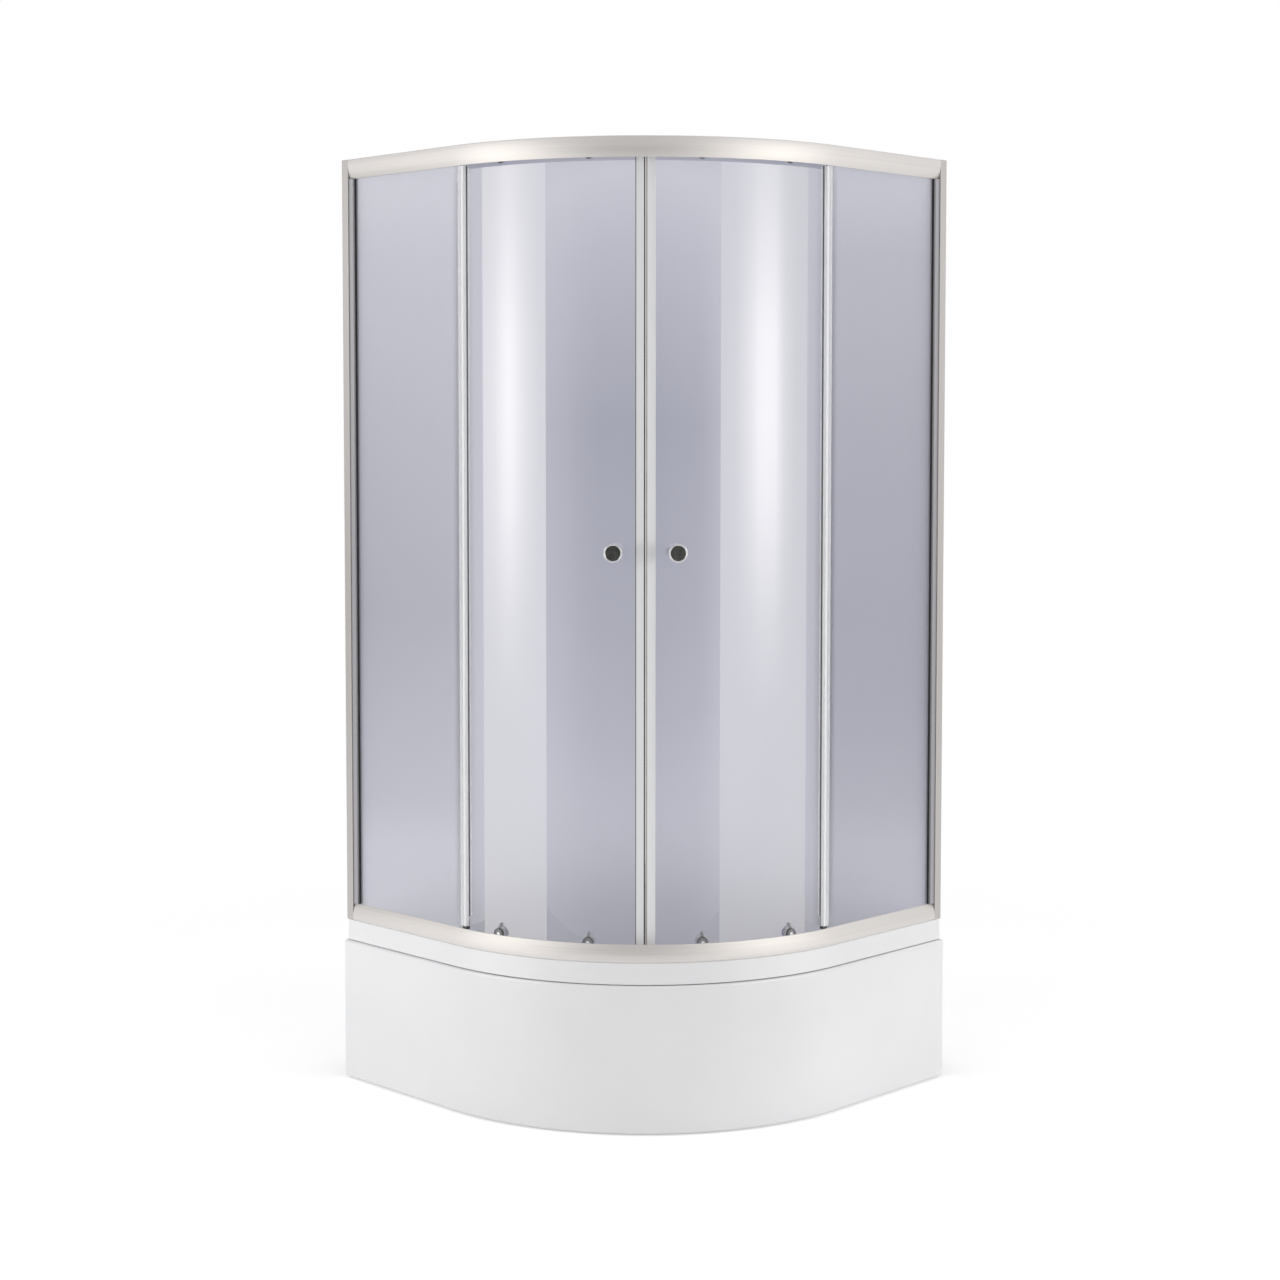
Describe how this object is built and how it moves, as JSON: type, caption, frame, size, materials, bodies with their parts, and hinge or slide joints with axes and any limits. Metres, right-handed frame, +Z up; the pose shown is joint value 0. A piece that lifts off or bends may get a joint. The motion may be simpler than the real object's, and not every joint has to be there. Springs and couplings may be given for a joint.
{
  "type": "corner shower cabin",
  "caption": "Quadrant corner shower cabin with a deep white tray, satin aluminium rails and posts, frosted glass side panes and curved sliding doors with chrome knobs.",
  "frame": {"origin": "centre of the square footprint on the floor", "axes": "+Z up; the room walls are at -X and +Y, the rounded front faces +X and -Y"},
  "size_m": [0.9, 0.9, 1.94],
  "materials": {
    "white_acrylic": "gloss",
    "chipboard": "raw",
    "zinc_steel": "zinc plated",
    "dark_plastic": "moulded",
    "chrome": "polished",
    "white_plastic": "moulded",
    "satin_aluminium": "satin anodised",
    "frosted_glass": "satin inside, polished outside",
    "clear_pvc": "extruded",
    "black_rubber": "extruded",
    "grey_plastic": "moulded"
  },
  "bodies": {
    "cabin": {"tray_basin": "white_acrylic", "base_board": "chipboard", "support_frame": "zinc_steel", "tube_end_caps": "dark_plastic", "leg_rods": "zinc_steel", "leg_nuts": "zinc_steel", "levelling_feet": "dark_plastic", "apron_panel": "white_acrylic", "apron_straps": "zinc_steel", "apron_screws": "zinc_steel", "waste_flange": "chrome", "waste_gasket": "black_rubber", "trap_body": "white_plastic", "trap_outlet_nut": "white_plastic", "top_rail": "satin_aluminium", "bottom_rail": "satin_aluminium", "wall_post_left": "satin_aluminium", "wall_post_right": "satin_aluminium", "glass_jamb_left": "satin_aluminium", "glass_jamb_right": "satin_aluminium", "fixed_glass_left": "frosted_glass", "fixed_glass_right": "frosted_glass", "jamb_gaskets": "black_rubber", "fixed_edge_seals": "clear_pvc", "pane_clips": "dark_plastic", "rail_end_blocks": "grey_plastic", "post_screws": "zinc_steel", "door_stops": "black_rubber"},
    "left_door": {"door_glass_left": "frosted_glass", "magnetic_seal_left": "clear_pvc", "magnet_strip_left": "black_rubber", "trailing_seal_left": "clear_pvc", "knob_outer_left": "chrome", "knob_inner_left": "chrome", "roller_hangers_left": "grey_plastic", "roller_plates_left": "grey_plastic", "door_fasteners_left": "zinc_steel"},
    "top_wheel_lead_left": {"top_wheel_lead_left": "grey_plastic"},
    "bottom_wheel_lead_left": {"bottom_wheel_lead_left": "grey_plastic"},
    "release_button_lead_left": {"release_button_lead_left": "grey_plastic"},
    "top_wheel_trail_left": {"top_wheel_trail_left": "grey_plastic"},
    "bottom_wheel_trail_left": {"bottom_wheel_trail_left": "grey_plastic"},
    "release_button_trail_left": {"release_button_trail_left": "grey_plastic"},
    "right_door": {"door_glass_right": "frosted_glass", "magnetic_seal_right": "clear_pvc", "magnet_strip_right": "black_rubber", "trailing_seal_right": "clear_pvc", "knob_outer_right": "chrome", "knob_inner_right": "chrome", "roller_hangers_right": "grey_plastic", "roller_plates_right": "grey_plastic", "door_fasteners_right": "zinc_steel"},
    "top_wheel_lead_right": {"top_wheel_lead_right": "grey_plastic"},
    "bottom_wheel_lead_right": {"bottom_wheel_lead_right": "grey_plastic"},
    "release_button_lead_right": {"release_button_lead_right": "grey_plastic"},
    "top_wheel_trail_right": {"top_wheel_trail_right": "grey_plastic"},
    "bottom_wheel_trail_right": {"bottom_wheel_trail_right": "grey_plastic"},
    "release_button_trail_right": {"release_button_trail_right": "grey_plastic"},
    "drain_cover": {"drain_cover": "chrome"}
  },
  "joints": [
    {"name": "left_door_slide", "type": "hinge", "parent": "cabin", "child": "left_door", "pos_m": [-0.1448, 0.1888, 0], "axis": [0, 0, -1], "range_deg": [0, 22.75]},
    {"name": "top_wheel_lead_left_spin", "type": "hinge", "parent": "left_door", "child": "top_wheel_lead_left", "pos_m": [0.17621, -0.33573, 1.9283], "axis": [-0.5354, 0.8446, 0], "continuous": true},
    {"name": "bottom_wheel_lead_left_spin", "type": "hinge", "parent": "left_door", "child": "bottom_wheel_lead_left", "pos_m": [0.17621, -0.33573, 0.3719], "axis": [-0.5354, 0.8446, 0], "continuous": true},
    {"name": "release_button_lead_left_press", "type": "slide", "parent": "left_door", "child": "release_button_lead_left", "axis": [0, 0, -1], "range_m": [0, 0.004], "stiffness_N_per_m": 300, "springref_m": -0.003},
    {"name": "top_wheel_trail_left_spin", "type": "hinge", "parent": "left_door", "child": "top_wheel_trail_left", "pos_m": [-0.00604, -0.40727, 1.9283], "axis": [-0.1821, 0.9833, 0], "continuous": true},
    {"name": "bottom_wheel_trail_left_spin", "type": "hinge", "parent": "left_door", "child": "bottom_wheel_trail_left", "pos_m": [-0.00604, -0.40727, 0.3719], "axis": [-0.1821, 0.9833, 0], "continuous": true},
    {"name": "release_button_trail_left_press", "type": "slide", "parent": "left_door", "child": "release_button_trail_left", "axis": [0, 0, -1], "range_m": [0, 0.004], "stiffness_N_per_m": 300, "springref_m": -0.003},
    {"name": "right_door_slide", "type": "hinge", "parent": "cabin", "child": "right_door", "pos_m": [-0.1888, 0.1448, 0], "axis": [0, 0, 1], "range_deg": [0, 22.75]},
    {"name": "top_wheel_lead_right_spin", "type": "hinge", "parent": "right_door", "child": "top_wheel_lead_right", "pos_m": [0.33573, -0.17621, 1.9283], "axis": [0.8446, -0.5354, 0], "continuous": true},
    {"name": "bottom_wheel_lead_right_spin", "type": "hinge", "parent": "right_door", "child": "bottom_wheel_lead_right", "pos_m": [0.33573, -0.17621, 0.3719], "axis": [0.8446, -0.5354, 0], "continuous": true},
    {"name": "release_button_lead_right_press", "type": "slide", "parent": "right_door", "child": "release_button_lead_right", "axis": [0, 0, -1], "range_m": [0, 0.004], "stiffness_N_per_m": 300, "springref_m": -0.003},
    {"name": "top_wheel_trail_right_spin", "type": "hinge", "parent": "right_door", "child": "top_wheel_trail_right", "pos_m": [0.40727, 0.00604, 1.9283], "axis": [0.9833, -0.1821, 0], "continuous": true},
    {"name": "bottom_wheel_trail_right_spin", "type": "hinge", "parent": "right_door", "child": "bottom_wheel_trail_right", "pos_m": [0.40727, 0.00604, 0.3719], "axis": [0.9833, -0.1821, 0], "continuous": true},
    {"name": "release_button_trail_right_press", "type": "slide", "parent": "right_door", "child": "release_button_trail_right", "axis": [0, 0, -1], "range_m": [0, 0.004], "stiffness_N_per_m": 300, "springref_m": -0.003},
    {"name": "drain_cover_lift", "type": "slide", "parent": "cabin", "child": "drain_cover", "axis": [0, 0, 1], "range_m": [0, 0.06]}
  ],
  "couplings": [
    {"joint": "top_wheel_lead_left_spin", "follows": "left_door_slide", "ratio": -76.87},
    {"joint": "bottom_wheel_lead_left_spin", "follows": "left_door_slide", "ratio": -55.906},
    {"joint": "top_wheel_trail_left_spin", "follows": "left_door_slide", "ratio": -76.501},
    {"joint": "bottom_wheel_trail_left_spin", "follows": "left_door_slide", "ratio": -55.637},
    {"joint": "top_wheel_lead_right_spin", "follows": "right_door_slide", "ratio": -76.87},
    {"joint": "bottom_wheel_lead_right_spin", "follows": "right_door_slide", "ratio": -55.906},
    {"joint": "top_wheel_trail_right_spin", "follows": "right_door_slide", "ratio": -76.501},
    {"joint": "bottom_wheel_trail_right_spin", "follows": "right_door_slide", "ratio": -55.637}
  ]
}
